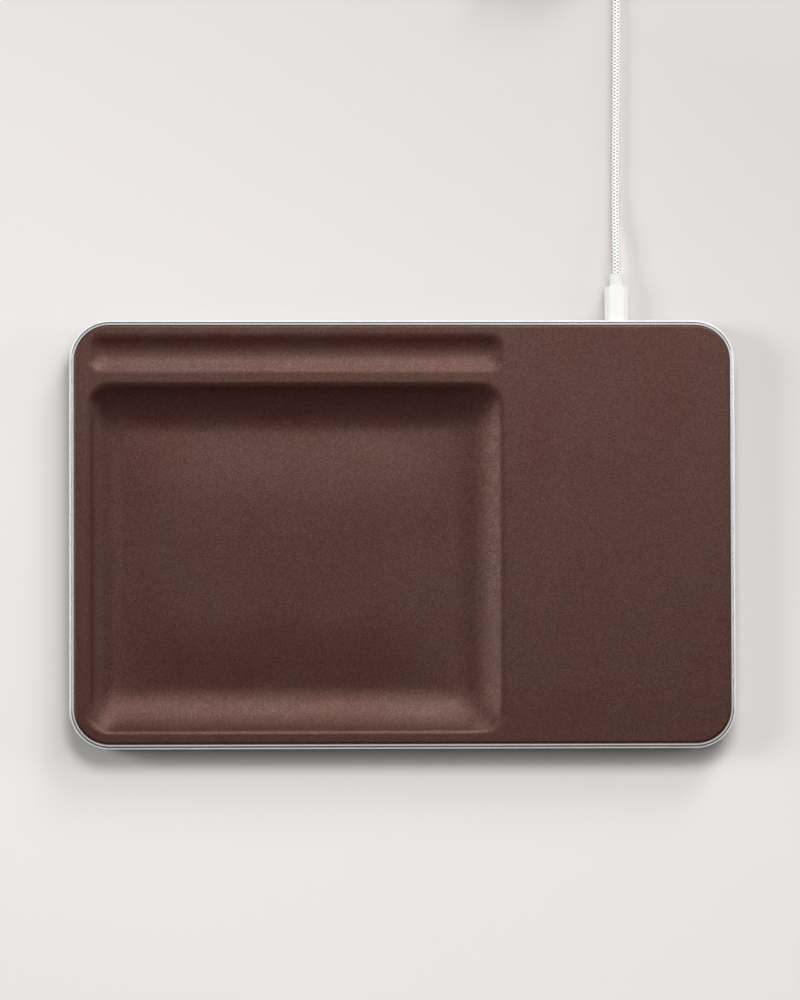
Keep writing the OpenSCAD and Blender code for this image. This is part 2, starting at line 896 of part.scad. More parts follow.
// Leads of the three coils: down the carrier's side, in under it, then back onto the board
module coil_leads() {
    drop_x = pad_x + carrier_l / 2 + fit_gap + lead_d / 2;
    boss_side = pad_x + board_hole_x - small_screw_d / 2 - boss_wall;
    color("darkred") {
        for (k = [0:2]) {
            lead_run(lead_d, drop_x, boss_side - (3 - k) * (lead_d + lead_gap),
                (k - 1) * coil_pitch, board_y0 + lead_reach, board_top + lead_d / 2);
        }
    }
}

// One lead: down at x0, across to x1 and back to y1, with round bends
module lead_run(d, x0, x1, y0, y1, z) {
    translate([x0, y0, z]) {
        cylinder(d = d, h = coil_lower_z - z);
        sphere(d = d);
        rotate([0, -90, 0]) {
            cylinder(d = d, h = x0 - x1);
        }
    }
    translate([x1, y0, z]) {
        sphere(d = d);
        rotate([-90, 0, 0]) {
            cylinder(d = d, h = y1 - y0);
        }
    }
}

module circuit_board() {
    color("darkgreen") {
        difference() {
            translate([pad_x - board_l / 2, board_y0, board_z]) {
                cube([board_l, board_w, board_t]);
            }
            board_screw_places() {
                translate([0, 0, board_z - cut]) {
                    cylinder(d = small_screw_d + 2 * screw_gap, h = board_t + 2 * cut);
                }
            }
            translate([port_x - port_w / 2 - fit_gap, port_y0 - fit_gap, board_z - cut]) {
                cube([port_w + 2 * fit_gap, port_l + cut, board_t + 2 * cut]);
            }
        }
    }
}

// A component that stands on the board, number k of a row with a given pitch
module on_board(at, size, k = 0, pitch = 0) {
    translate([pad_x + at[0] + k * pitch - size[0] / 2, board_y0 + at[1] - size[1] / 2, board_top]) {
        cube(size);
    }
}

module controller_chip() {
    color(plastic_black) {
        on_board(controller_at, controller_size);
    }
}

module bridge_chips() {
    color(plastic_black) {
        for (k = [0:3]) {
            on_board(bridge_at, bridge_size, k, bridge_pitch);
        }
    }
}

module resonant_capacitors() {
    color("tan") {
        for (k = [0:4]) {
            on_board(capacitor_at, capacitor_size, k, capacitor_pitch);
        }
    }
}

module power_inductor() {
    color("gray") {
        on_board(inductor_at, inductor_size);
    }
}

module usb_receptacle_shell() {
    color(aluminium_grey) {
        difference() {
            translate([port_x, port_y0, port_z]) {
                slot_prism(port_w, port_h, port_l);
            }
            translate([port_x, port_y0 + port_wall, port_z]) {
                slot_prism(port_w - 2 * port_wall, port_h - 2 * port_wall, port_l);
            }
        }
    }
}

// Tongue of the port, with clearance inside the plug's sleeve
module usb_receptacle_tongue() {
    color(plastic_black) {
        union() {
            translate([port_x, port_y0 + port_wall, port_z]) {
                slot_prism(port_w - 2 * port_wall, port_h - 2 * port_wall, tongue_root);
            }
            translate([port_x - tongue_w / 2, port_y0 + port_wall, port_z - tongue_t / 2]) {
                cube([tongue_w, tongue_l, tongue_t]);
            }
        }
    }
}

// The plug's sleeve reaches into the port and stops short of its end
module plug_shell() {
    w = port_w - 2 * port_wall - 2 * fit_gap;
    h = port_h - 2 * port_wall - 2 * fit_gap;
    y0 = port_y0 + port_wall + sleeve_gap;
    color(aluminium_grey) {
        difference() {
            translate([port_x, y0, port_z]) {
                slot_prism(w, h, tray_w / 2 - y0);
            }
            translate([port_x, y0 - cut, port_z]) {
                slot_prism(w - 2 * sleeve_wall, h - 2 * sleeve_wall,
                    tray_w / 2 - y0 + cut - sleeve_end);
            }
        }
    }
}

// A plug's housing along +Y: flat top and bottom, with its long edges bevelled
module bevelled_housing(w, h, l) {
    b = plug_bevel;
    translate([0, l, 0]) {
        rotate([90, 0, 0]) {
            linear_extrude(l) {
                polygon([[w / 2, -h / 2 + b], [w / 2, h / 2 - b], [w / 2 - b, h / 2],
                    [-w / 2 + b, h / 2], [-w / 2, h / 2 - b], [-w / 2, -h / 2 + b],
                    [-w / 2 + b, -h / 2], [w / 2 - b, -h / 2]]);
            }
        }
    }
}

module plug_housing() {
    color(plastic_white) {
        translate([port_x, tray_w / 2, port_z]) {
            bevelled_housing(plug_w, plug_h, plug_l);
        }
    }
}

module plug_collar() {
    color(plastic_white) {
        translate([port_x, tray_w / 2 + plug_l, port_z]) {
            slot_prism(collar_w, collar_h, collar_l);
        }
    }
}

// Route of the cord from the collar to the coil, by hand: it leaves level, sinks to the table,
// runs back and rises a little to the coil's lowest layer
lead_route = [[88.2, 107, 4.7], [88.2, 111, 4.7], [88.2, 117, 4.4], [88.2, 123, 3.7],
    [88.2, 129, 2.8], [88.2, 136, 2], [88.3, 144, 1.7], [88.3, 152, 1.7], [88.4, 160, 1.7],
    [88.5, 170, 1.7], [88.6, 180, 1.7], [88.7, 190, 1.7], [88.8, 200, 1.7], [88.9, 210, 1.7],
    [89, 220, 1.7], [89, 230, 1.8], [89, 239, 2.3], [89, 247, 2.8], [89, 252, 2.8], [89, 256, 2.8]];

// Middle of the coil, its widest and narrowest radius, and the rise from layer to layer
coil_mid = [63, 260];
wind_r_out = 26;
wind_r_in = 13.2;
wind_turns = 3;
wind_layers = 4;
wind_lift = 4;
wind_z = 2.8;
wind_steps = 24;
// Turn over which the cord climbs to the next layer, the part of the last layer that is left
// out, and the straight at either end of the coil
climb_turn = 0.5;
tail_turn = 0.25;
wind_straight = 4;

// Route of the short end from the coil's last turn down to the second plug, by hand
tail_route = [[59, 285, 14.8], [55, 285, 14.8], [49, 285, 14.3], [43, 285, 12.8], [37, 285, 10.4],
    [31, 285, 7.6], [25, 285, 5.4], [19, 285, 4.2], [13, 285, 3.8], [9, 285, 3.8]];

function unit(v) = v / norm(v);

// Direction of a route at one of its points
function heading(path, i) =
    let (last = len(path) - 1)
    unit(i == 0 ? path[1] - path[0]
        : i == last ? path[last] - path[last - 1]
        : unit(path[i] - path[i - 1]) + unit(path[i + 1] - path[i]));

// A tube of n sides along a route that never runs straight up
module tube(path, d, n) {
    last = len(path) - 1;
    points = [for (i = [0:last])
        let (f = heading(path, i),
            side = unit(cross([0, 0, 1], f)),
            up = cross(f, side))
        for (k = [0:n - 1])
            let (a = 360 * (k + 0.5) / n)
            path[i] + d / 2 * (cos(a) * side + sin(a) * up)];
    walls = [for (i = [0:last - 1], k = [0:n - 1])
        let (m = (k + 1) % n, a = i * n, b = (i + 1) * n)
        each [[a + k, b + k, b + m], [a + k, b + m, a + m]]];
    ends = [run_up(0, n - 1), run_down(last * n + n - 1, last * n)];
    polyhedron(points, concat(walls, ends));
}

module cable_lead() {
    color(plastic_white) {
        tube(lead_route, cord_d, 8);
    }
}

module cable_tail() {
    color(plastic_white) {
        tube(tail_route, cord_d, 8);
    }
}

// Turns wound in layer k: the last layer stops early, heading for the tail
function layer_turns(k) = k == wind_layers - 1 ? wind_turns - tail_turn : wind_turns;
wind_pitch = (wind_r_out - wind_r_in) / wind_turns;

// Radius and height once t turns of layer k and its climb are done: the spiral runs in on even
// layers and out on odd ones, and climbs in the part of a turn that follows
function wind_point(k, t) =
    let (n = layer_turns(k),
        wound = min(t, n),
        r = k % 2 == 0 ? wind_r_out - wind_pitch * wound : wind_r_in + wind_pitch * wound,
        rise = t > n ? (t - n) / climb_turn : 0,
        turn = 360 * (k * (wind_turns + climb_turn) + t))
    [coil_mid[0] + r * cos(turn), coil_mid[1] + r * sin(turn), wind_z + wind_lift * (k + rise)];

function layer_points(k) =
    let (n = k == wind_layers - 1 ? layer_turns(k) : wind_turns + climb_turn)
    [for (i = [(k == 0 ? 0 : 1):wind_steps * n]) wind_point(k, i / wind_steps)];

wind_points = [for (k = [0:wind_layers - 1]) each layer_points(k)];
wind_first = wind_points[0];
wind_last = wind_points[len(wind_points) - 1];
wind_route = concat([wind_first - [0, wind_straight, 0]], wind_points,
    [wind_last - [wind_straight, 0, 0]]);

// Least gap of the wound cord to itself, past the half turn that follows each point
function gap_from(i) =
    min([for (j = [i + wind_steps / 2:1:len(wind_route) - 1]) norm(wind_route[j] - wind_route[i])]);
least_gap = min([for (i = [0:len(wind_route) - 1 - wind_steps]) gap_from(i)]) - cord_d;
echo(least_gap = least_gap);

module cable_coil() {
    color(plastic_white) {
        tube(wind_route, cord_d, 6);
    }
}

// Strap round the coil, on the side away from the tray
module coil_tie() {
    tie_t = 0.8;
    tie_l = 8;
    tie_gap = 0.3;
    tie_slack = 0.6;
    tie_r = 2;
    inner_r = wind_r_in - cord_d / 2 - tie_gap - tie_slack;
    outer_r = wind_r_out + cord_d / 2 + tie_gap;
    low = wind_z - cord_d / 2 - tie_gap;
    high = wind_z + wind_lift * (wind_layers - 1) + cord_d / 2 + tie_gap;
    color("gray") {
        translate([coil_mid[0], coil_mid[1], 0]) {
            rotate([0, 0, 225]) {
                translate([(inner_r + outer_r) / 2, tie_l / 2, (low + high) / 2]) {
                    rotate([90, 0, 0]) {
                        linear_extrude(tie_l) {
                            tie_outline(outer_r - inner_r, high - low, tie_t, tie_r);
                        }
                    }
                }
            }
        }
    }
}

module tie_outline(w, h, t, r) {
    difference() {
        rounded_outline(w + 2 * t, h + 2 * t, r);
        rounded_outline(w, h, r - t);
    }
}

// Second plug, heading left from the end of the tail
usb_a_start = tail_route[len(tail_route) - 1];

module heading_left() {
    translate(usb_a_start) {
        rotate([0, 0, 90]) {
            children();
        }
    }
}

module usb_a_collar() {
    color(plastic_white) {
        heading_left() {
            slot_prism(collar_w, collar_h, collar_l);
        }
    }
}

module usb_a_housing() {
    color(plastic_white) {
        heading_left() {
            translate([0, collar_l, 0]) {
                bevelled_housing(usb_a_w, usb_a_h, usb_a_l);
            }
        }
    }
}

module usb_a_shell() {
    color(aluminium_grey) {
        heading_left() {
            translate([0, collar_l + usb_a_l, 0]) {
                difference() {
                    usb_a_box(usb_a_shell_w, usb_a_shell_h, 0, usb_a_shell_l);
                    usb_a_box(usb_a_shell_w - 2 * usb_a_wall, usb_a_shell_h - 2 * usb_a_wall,
                        usb_a_root, usb_a_shell_l);
                }
            }
        }
    }
}

module usb_a_box(w, h, from, l) {
    translate([-w / 2, from, -h / 2]) {
        cube([w, l, h]);
    }
}

module usb_a_tongue() {
    color(plastic_white) {
        heading_left() {
            translate([0, collar_l + usb_a_l, usb_a_wall + fit_gap + usb_a_tongue_t / 2
                    - usb_a_shell_h / 2]) {
                usb_a_box(usb_a_shell_w - 2 * usb_a_wall - 2 * fit_gap, usb_a_tongue_t, usb_a_root,
                    usb_a_shell_l - usb_a_root - usb_a_tongue_back);
            }
        }
    }
}

base_shell();
bezel_ring();
tray_core();
leather_cover();
placed_foot(-1, -1);  // foot_front_left
placed_foot(1, -1);  // foot_front_right
placed_foot(-1, 1);  // foot_back_left
placed_foot(1, 1);  // foot_back_right
base_screws();
charging_coil(-coil_pitch, coil_lower_z);  // coil_lower_front
charging_coil(coil_pitch, coil_lower_z);  // coil_lower_back
charging_coil(0, coil_upper_z);  // coil_upper
ferrite_sheet();
coil_carrier();
carrier_screws();
coil_leads();
circuit_board();
board_screws();
controller_chip();
bridge_chips();
resonant_capacitors();
power_inductor();
usb_receptacle_shell();
usb_receptacle_tongue();
plug_shell();
plug_housing();
plug_collar();
cable_lead();
cable_coil();
coil_tie();
cable_tail();
usb_a_collar();
usb_a_housing();
usb_a_shell();
usb_a_tongue();
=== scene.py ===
import math
import bpy
import numpy as np
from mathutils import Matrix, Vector
from mathutils.geometry import delaunay_2d_cdt


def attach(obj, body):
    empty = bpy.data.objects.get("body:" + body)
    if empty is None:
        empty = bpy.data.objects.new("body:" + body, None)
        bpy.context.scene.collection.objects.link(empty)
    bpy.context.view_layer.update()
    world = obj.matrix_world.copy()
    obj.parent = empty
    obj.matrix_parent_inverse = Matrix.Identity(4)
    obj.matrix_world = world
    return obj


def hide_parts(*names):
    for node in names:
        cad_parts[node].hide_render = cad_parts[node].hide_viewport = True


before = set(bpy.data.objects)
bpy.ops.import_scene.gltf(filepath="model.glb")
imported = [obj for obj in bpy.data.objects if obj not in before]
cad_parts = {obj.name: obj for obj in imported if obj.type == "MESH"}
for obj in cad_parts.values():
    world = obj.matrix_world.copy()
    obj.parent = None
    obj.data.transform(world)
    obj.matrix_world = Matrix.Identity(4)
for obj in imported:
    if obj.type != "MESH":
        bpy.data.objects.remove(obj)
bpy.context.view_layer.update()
MM = 0.001

# ---------------------------------------------------------------- camera
# Solved from the leather's outline in the photograph, for a camera 2.3 m above the table
cam_data = bpy.data.cameras.new("camera")
cam_data.lens = 202.0
cam_data.sensor_width = 36
cam_data.clip_end = 20
cam = bpy.data.objects.new("camera", cam_data)
cam.location = (-0.0787, -0.0778, 2.3)
cam.rotation_euler = (0.04017, -0.03379, -0.002675)
bpy.context.collection.objects.link(cam)
bpy.context.scene.camera = cam
bpy.context.scene.view_settings.view_transform = "Standard"


# ---------------------------------------------------------------- node helpers
def new_material(name):
    mat = bpy.data.materials.new(name)
    mat.use_nodes = True
    tree = mat.node_tree
    tree.nodes.clear()
    out = tree.nodes.new("ShaderNodeOutputMaterial")
    bsdf = tree.nodes.new("ShaderNodeBsdfPrincipled")
    tree.links.new(bsdf.outputs[0], out.inputs[0])
    return mat, tree, bsdf


def math_node(tree, op, a, b=None):
    node = tree.nodes.new("ShaderNodeMath")
    node.operation = op
    for k, v in enumerate((a, b)):
        if v is None:
            continue
        if isinstance(v, (int, float)):
            node.inputs[k].default_value = v
        else:
            tree.links.new(v, node.inputs[k])
    return node.outputs[0]


def coords(tree):
    return tree.nodes.new("ShaderNodeTexCoord").outputs["Object"]


def noise(tree, vector, scale, detail=3, rough=0.5):
    node = tree.nodes.new("ShaderNodeTexNoise")
    node.inputs["Scale"].default_value = scale
    node.inputs["Detail"].default_value = detail
    node.inputs["Roughness"].default_value = rough
    tree.links.new(vector, node.inputs["Vector"])
    return node.outputs[0]


def voronoi(tree, vector, scale, feature="F1"):
    node = tree.nodes.new("ShaderNodeTexVoronoi")
    node.feature = feature
    node.inputs["Scale"].default_value = scale
    tree.links.new(vector, node.inputs["Vector"])
    return node.outputs["Distance"]


def ramp(tree, value, *stops):
    node = tree.nodes.new("ShaderNodeValToRGB")
    marks = node.color_ramp.elements
    while len(marks) < len(stops):
        marks.new(0.5)
    for mark, (at, colour) in zip(marks, stops):
        mark.position = at
        mark.color = (*colour, 1)
    tree.links.new(value, node.inputs[0])
    return node.outputs[0]


def bump(tree, height, depth, strength=1.0, normal=None):
    node = tree.nodes.new("ShaderNodeBump")
    node.inputs["Strength"].default_value = strength
    node.inputs["Distance"].default_value = depth
    tree.links.new(height, node.inputs["Height"])
    if normal is not None:
        tree.links.new(normal, node.inputs["Normal"])
    return node.outputs[0]


def srgb(r, g, b):
    """A colour written in 8-bit sRGB, as linear values."""
    return tuple(((c / 255 + 0.055) / 1.055) ** 2.4 if c > 10 else c / 255 / 12.92 for c in (r, g, b))


def shell_finish_painted_shade():
    """Fine-blasted aluminium with a bare shoulder at the shell's top edge; the side below it is painted dark grey
    as shade.
    """
    mat = plain("satin_aluminium_painted_shade", (0.93, 0.93, 0.935), 0.72, 1.0, 2600, 0.000006, 0.02)
    tree = mat.node_tree
    bsdf = next(n for n in tree.nodes if n.type == "BSDF_PRINCIPLED")
    place = tree.nodes.new("ShaderNodeSeparateXYZ")
    tree.links.new(coords(tree), place.inputs[0])
    up = math_node(tree, "MULTIPLY", math_node(tree, "SUBTRACT", place.outputs[2], 0.0120), 1200)
    painted_shade_blend = tree.nodes.new("ShaderNodeMix")
    painted_shade_blend.data_type = "RGBA"
    tree.links.new(up, painted_shade_blend.inputs[0])
    # Painted shade: below 12 mm the side is coloured dark grey. This stands in for a side held out of the light,
    # so it throws little reflected light onto the table.
    painted_shade_blend.inputs[6].default_value = (0.22, 0.22, 0.225, 1)
    tree.links.new(ramp(tree, up, (0.0, (1.0,) * 3), (1.0, (0.6,) * 3)), bsdf.inputs["Metallic"])
    tree.links.new(bsdf.inputs["Base Color"].links[0].from_socket, painted_shade_blend.inputs[7])
    tree.links.new(painted_shade_blend.outputs[2], bsdf.inputs["Base Color"])
    return mat


def plain(name, colour, rough, metal=0.0, grain=900, depth=0.00001, vary=0.06, coat=0.0):
    """A moulded, cast or machined finish: slight mottling in its colour, gloss and surface."""
    mat, tree, bsdf = new_material(name)
    at = coords(tree)
    fine = noise(tree, at, grain, 4, 0.6)
    wide = noise(tree, at, 60, 2)
    low = [c * (1 - vary) for c in colour]
    high = [min(1, c * (1 + vary)) for c in colour]
    tree.links.new(ramp(tree, wide, (0.3, low), (0.7, high)), bsdf.inputs["Base Color"])
    gloss = ramp(tree, fine, (0.25, (rough * 0.85,) * 3), (0.75, (rough * 1.15,) * 3))
    tree.links.new(gloss, bsdf.inputs["Roughness"])
    tree.links.new(bump(tree, fine, depth), bsdf.inputs["Normal"])
    bsdf.inputs["Metallic"].default_value = metal
    bsdf.inputs["Coat Weight"].default_value = coat
    return mat


# ---------------------------------------------------------------- materials
def leather_material():
    mat, tree, bsdf = new_material("leather")
    at = coords(tree)
    warp = tree.nodes.new("ShaderNodeVectorMath")
    warp.operation = "MULTIPLY_ADD"
    wobble = tree.nodes.new("ShaderNodeTexNoise")
    wobble.inputs["Scale"].default_value = 700
    tree.links.new(at, wobble.inputs["Vector"])
    tree.links.new(wobble.outputs["Color"], warp.inputs[0])
    warp.inputs[1].default_value = (0.0007, 0.0007, 0.0007)
    tree.links.new(at, warp.inputs[2])
    grain = 2700
    crease = math_node(tree, "MINIMUM", voronoi(tree, warp.outputs[0], grain, "DISTANCE_TO_EDGE"), 0.22)
    pebble = tree.nodes.new("ShaderNodeTexVoronoi")
    pebble.inputs["Scale"].default_value = grain
    tree.links.new(warp.outputs[0], pebble.inputs["Vector"])
    each = tree.nodes.new("ShaderNodeSeparateColor")
    tree.links.new(pebble.outputs["Color"], each.inputs[0])
    pores = noise(tree, at, 5200, 3, 0.6)
    wide = noise(tree, at, 26, 4, 0.55)
    mid = noise(tree, at, 240, 4, 0.6)
    height = math_node(tree, "ADD", crease, math_node(tree, "MULTIPLY", pores, 0.06))
    height = math_node(tree, "ADD", height, math_node(tree, "MULTIPLY", each.outputs[1], 0.10))
    mix = math_node(tree, "ADD", math_node(tree, "MULTIPLY", wide, 0.6), math_node(tree, "MULTIPLY", mid, 0.4))
    colour = ramp(tree, mix, (0.3, (0.018, 0.0010, 0.0012)), (0.7, (0.025, 0.0016, 0.0018)))
    tree.links.new(colour, bsdf.inputs["Base Color"])
    rough = ramp(tree, mid, (0.3, (0.37,) * 3), (0.7, (0.46,) * 3))
    sheen = math_node(tree, "MULTIPLY", ramp(tree, each.outputs[0], (0.0, (0.6,) * 3), (1.0, (1.1,) * 3)),
                      ramp(tree, crease, (0.0, (0.6,) * 3), (0.12, (1.15,) * 3)))
    tree.links.new(sheen, bsdf.inputs["Specular IOR Level"])
    tree.links.new(rough, bsdf.inputs["Roughness"])
    tree.links.new(bump(tree, height, 0.00012, 0.7), bsdf.inputs["Normal"])
    tree.links.new(ramp(tree, wide, (0.38, (1.0, 0.59, 0.49)), (0.62, (0.97, 0.66, 0.55))),
                   bsdf.inputs["Specular Tint"])
    bsdf.inputs["IOR"].default_value = 1.51
    return mat


CARRIERS = 4
BRAID_PITCH = 0.0014


def braid_material():
    """Interlaced yarns, drawn from the tube's own coordinates: once round it, and metres along it."""
    mat, tree, bsdf = new_material("braid")
    uv = tree.nodes.new("ShaderNodeUVMap")
    uv.uv_map = "tube"
    parts = tree.nodes.new("ShaderNodeSeparateXYZ")
    tree.links.new(uv.outputs[0], parts.inputs[0])
    around = math_node(tree, "MULTIPLY", math_node(tree, "ADD", parts.outputs[0], 1 / 16), float(CARRIERS))
    along = parts.outputs[1]
    a = math_node(tree, "ADD", around, along)
    b = math_node(tree, "SUBTRACT", around, along)
    fa = math_node(tree, "FRACT", a)
    fb = math_node(tree, "FRACT", b)
    cell = math_node(tree, "ADD", math_node(tree, "FLOOR", a), math_node(tree, "FLOOR", b))
    odd = math_node(tree, "PINGPONG", cell, 1.0)

    def arch(f):
        return math_node(tree, "SINE", math_node(tree, "MULTIPLY", f, math.pi))

    sa, sb = arch(fa), arch(fb)

    def strand(across, lengthways):
        crown = math_node(tree, "POWER", across, 0.55)
        return math_node(tree, "MULTIPLY", crown,
                         math_node(tree, "ADD", math_node(tree, "MULTIPLY", lengthways, 0.45), 0.55))

    up, down = strand(sa, sb), strand(sb, sa)
    swap = tree.nodes.new("ShaderNodeMix")
    swap.data_type = "FLOAT"
    tree.links.new(odd, swap.inputs[0])
    tree.links.new(up, swap.inputs[2])
    tree.links.new(down, swap.inputs[3])
    height = swap.outputs[0]
    yarn = math_node(tree, "MULTIPLY", math_node(tree, "SINE", math_node(tree, "MULTIPLY", a, 31.4)), 0.08)
    lumps = math_node(tree, "ADD", height, yarn)
    # Painted shade: each yarn is coloured grey where it runs low at its flanks and dips, and white on its crown.
    colour = ramp(tree, height, (0.1, srgb(170, 170, 168)), (0.4, srgb(226, 226, 224)), (0.7, srgb(252, 252, 250)))
    # Painted shade: the gaps between the yarns are coloured dark.
    gap = math_node(tree, "MULTIPLY", math_node(tree, "SUBTRACT", 1.0, sa), math_node(tree, "SUBTRACT", 1.0, sb))
    shade = ramp(tree, gap, (0.1, (1, 1, 1)), (0.45, srgb(100, 99, 97)))
    both = tree.nodes.new("ShaderNodeMix")
    both.data_type, both.blend_type = "RGBA", "MULTIPLY"
    both.inputs[0].default_value = 1
    tree.links.new(colour, both.inputs[6])
    tree.links.new(shade, both.inputs[7])
    tree.links.new(both.outputs[2], bsdf.inputs["Base Color"])
    tree.links.new(bump(tree, lumps, 0.00012, 0.8), bsdf.inputs["Normal"])
    bsdf.inputs["Roughness"].default_value = 0.62
    bsdf.inputs["Sheen Weight"].default_value = 0.25
    return mat


leather_mat = leather_material()
braid_mat = braid_material()
FINISH = {
    "aluminium": shell_finish_painted_shade(),
    "lip": plain("smooth_aluminium", (0.86, 0.86, 0.865), 0.21, 1.0, 2600, 0.000002, 0.03),
    "core": plain("core_plastic", (0.022, 0.022, 0.024), 0.55, grain=1500, depth=0.00002),
    "silicone": plain("silicone", (0.03, 0.03, 0.032), 0.7, grain=2500, depth=0.00002),
    "steel": plain("screw_steel", (0.55, 0.55, 0.56), 0.32, 1.0, 3000, 0.000004, 0.05),
    "copper": plain("enamelled_copper", (0.65, 0.24, 0.10), 0.28, 1.0, 2500, 0.00001, 0.12, coat=0.5),
    "ferrite": plain("ferrite", (0.03, 0.03, 0.033), 0.6, grain=1800, depth=0.00002),
    "board": plain("solder_mask", (0.01, 0.08, 0.03), 0.3, grain=500, coat=0.4, vary=0.15),
    "chip": plain("chip_body", (0.015, 0.015, 0.016), 0.5, grain=3500, depth=0.00001),
    "ceramic": plain("ceramic", (0.35, 0.22, 0.11), 0.45, grain=2000),
    "inductor": plain("inductor", (0.08, 0.08, 0.083), 0.6, grain=2500, depth=0.00002),
    "wire": plain("wire_insulation", (0.12, 0.008, 0.006), 0.4, grain=1200),
    "plug_steel": plain("plug_steel", (0.72, 0.71, 0.69), 0.22, 1.0, 3000, 0.000003, 0.03),
    "white": plain("white_plastic", srgb(231, 231, 230), 0.34, grain=2200, depth=0.000004, vary=0.012),
    "collar": plain("collar_plastic", srgb(222, 222, 221), 0.45, grain=2200, depth=0.000004, vary=0.012),
    "insulator": plain("port_insulator", (0.02, 0.02, 0.022), 0.45, grain=2000),
    "strap": plain("strap_fabric", (0.33, 0.33, 0.33), 0.8, grain=2600, depth=0.00008, vary=0.15),
}
NODE_FINISH = {
    "base_shell": "aluminium", "bezel_ring": "lip", "tray_core": "core",
    "foot_front_left": "silicone", "foot_front_right": "silicone", "foot_back_left": "silicone",
    "foot_back_right": "silicone", "base_screws": "steel", "coil_lower_front": "copper",
    "coil_lower_back": "copper", "coil_upper": "copper", "ferrite_sheet": "ferrite",
    "coil_carrier": "core", "carrier_screws": "steel", "coil_leads": "wire", "circuit_board": "board",
    "board_screws": "steel", "controller_chip": "chip", "bridge_chips": "chip",
    "resonant_capacitors": "ceramic", "power_inductor": "inductor", "usb_receptacle_shell": "plug_steel",
    "usb_receptacle_tongue": "insulator", "plug_shell": "plug_steel", "plug_housing": "white",
    "plug_collar": "collar", "coil_tie": "strap", "usb_a_collar": "collar", "usb_a_housing": "white",
    "usb_a_shell": "plug_steel", "usb_a_tongue": "white",
}
for name, finish in NODE_FINISH.items():
    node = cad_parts[name]
    if not node.material_slots:
        node.data.materials.append(FINISH[finish])
    for place in node.material_slots:
        place.material = FINISH[finish]


def add_mesh(name, points, faces, mat, smooth=True):
    mesh = bpy.data.meshes.new(name)
    mesh.from_pydata([tuple(p) for p in points], [], faces)
    mesh.validate()
    mesh.update()
    if smooth:
        mesh.shade_smooth()
    obj = bpy.data.objects.new(name, mesh)
    obj.data.materials.append(mat)
    bpy.context.collection.objects.link(obj)
    return obj


# ---------------------------------------------------------------- cord
CORD_D = 3.3
lead_route = [
    (88.2, 107, 4.7), (88.2, 111, 4.7), (88.2, 117, 4.4), (88.2, 123, 3.7), (88.2, 129, 2.8),
    (88.2, 136, 2), (88.3, 144, 1.7), (88.3, 152, 1.7), (88.4, 160, 1.7), (88.5, 170, 1.7),
    (88.6, 180, 1.7), (88.7, 190, 1.7), (88.8, 200, 1.7), (88.9, 210, 1.7), (89, 220, 1.7),
    (89, 230, 1.8), (89, 239, 2.3), (89, 247, 2.8), (89, 252, 2.8), (89, 256, 2.8)]
tail_route = [
    (59, 285, 14.8), (55, 285, 14.8), (49, 285, 14.3), (43, 285, 12.8), (37, 285, 10.4),
    (31, 285, 7.6), (25, 285, 5.4), (19, 285, 4.2), (13, 285, 3.8), (9, 285, 3.8)]
COIL_MID, WIND_OUT, WIND_IN = (63, 260), 26.0, 13.2
WIND_TURNS, WIND_LAYERS, WIND_LIFT, WIND_Z = 3, 4, 4.0, 2.8


def wind_route(steps):
    pitch = (WIND_OUT - WIND_IN) / WIND_TURNS
    route = []
    for k in range(WIND_LAYERS):
        turns = WIND_TURNS - (0.25 if k == WIND_LAYERS - 1 else 0)
        end = turns if k == WIND_LAYERS - 1 else WIND_TURNS + 0.5
        for i in range(0 if k == 0 else 1, int(round(steps * end)) + 1):
            t = i / steps
            wound = min(t, turns)
            r = WIND_OUT - pitch * wound if k % 2 == 0 else WIND_IN + pitch * wound
            rise = (t - turns) / 0.5 if t > turns else 0
            a = math.tau * (k * (WIND_TURNS + 0.5) + t)
            route.append((COIL_MID[0] + r * math.cos(a), COIL_MID[1] + r * math.sin(a),
                          WIND_Z + WIND_LIFT * (k + rise)))
    return route


def smooth_route(route, step):
    """Centripetal spline through the route's points, sampled at even steps along it."""
    p = np.array(route, float)
    p = np.vstack([2 * p[0] - p[1], p, 2 * p[-1] - p[-2]])
    fine = []
    for i in range(1, len(p) - 2):
        p0, p1, p2, p3 = p[i - 1:i + 3]
        t0, t1 = 0.0, np.linalg.norm(p1 - p0) ** 0.5
        t2 = t1 + np.linalg.norm(p2 - p1) ** 0.5
        t3 = t2 + np.linalg.norm(p3 - p2) ** 0.5
        for t in np.linspace(t1, t2, 24, endpoint=False):
            a1 = (t1 - t) / (t1 - t0) * p0 + (t - t0) / (t1 - t0) * p1
            a2 = (t2 - t) / (t2 - t1) * p1 + (t - t1) / (t2 - t1) * p2
            a3 = (t3 - t) / (t3 - t2) * p2 + (t - t2) / (t3 - t2) * p3
            b1 = (t2 - t) / (t2 - t0) * a1 + (t - t0) / (t2 - t0) * a2
            b2 = (t3 - t) / (t3 - t1) * a2 + (t - t1) / (t3 - t1) * a3
            fine.append((t2 - t) / (t2 - t1) * b1 + (t - t1) / (t2 - t1) * b2)
    fine.append(p[-2])
    fine = np.array(fine)
    run = np.concatenate([[0], np.cumsum(np.linalg.norm(np.diff(fine, axis=0), axis=1))])
    at = np.linspace(0, run[-1], max(2, int(round(run[-1] / step)) + 1))
    return np.stack([np.interp(at, run, fine[:, k]) for k in range(3)], axis=1)


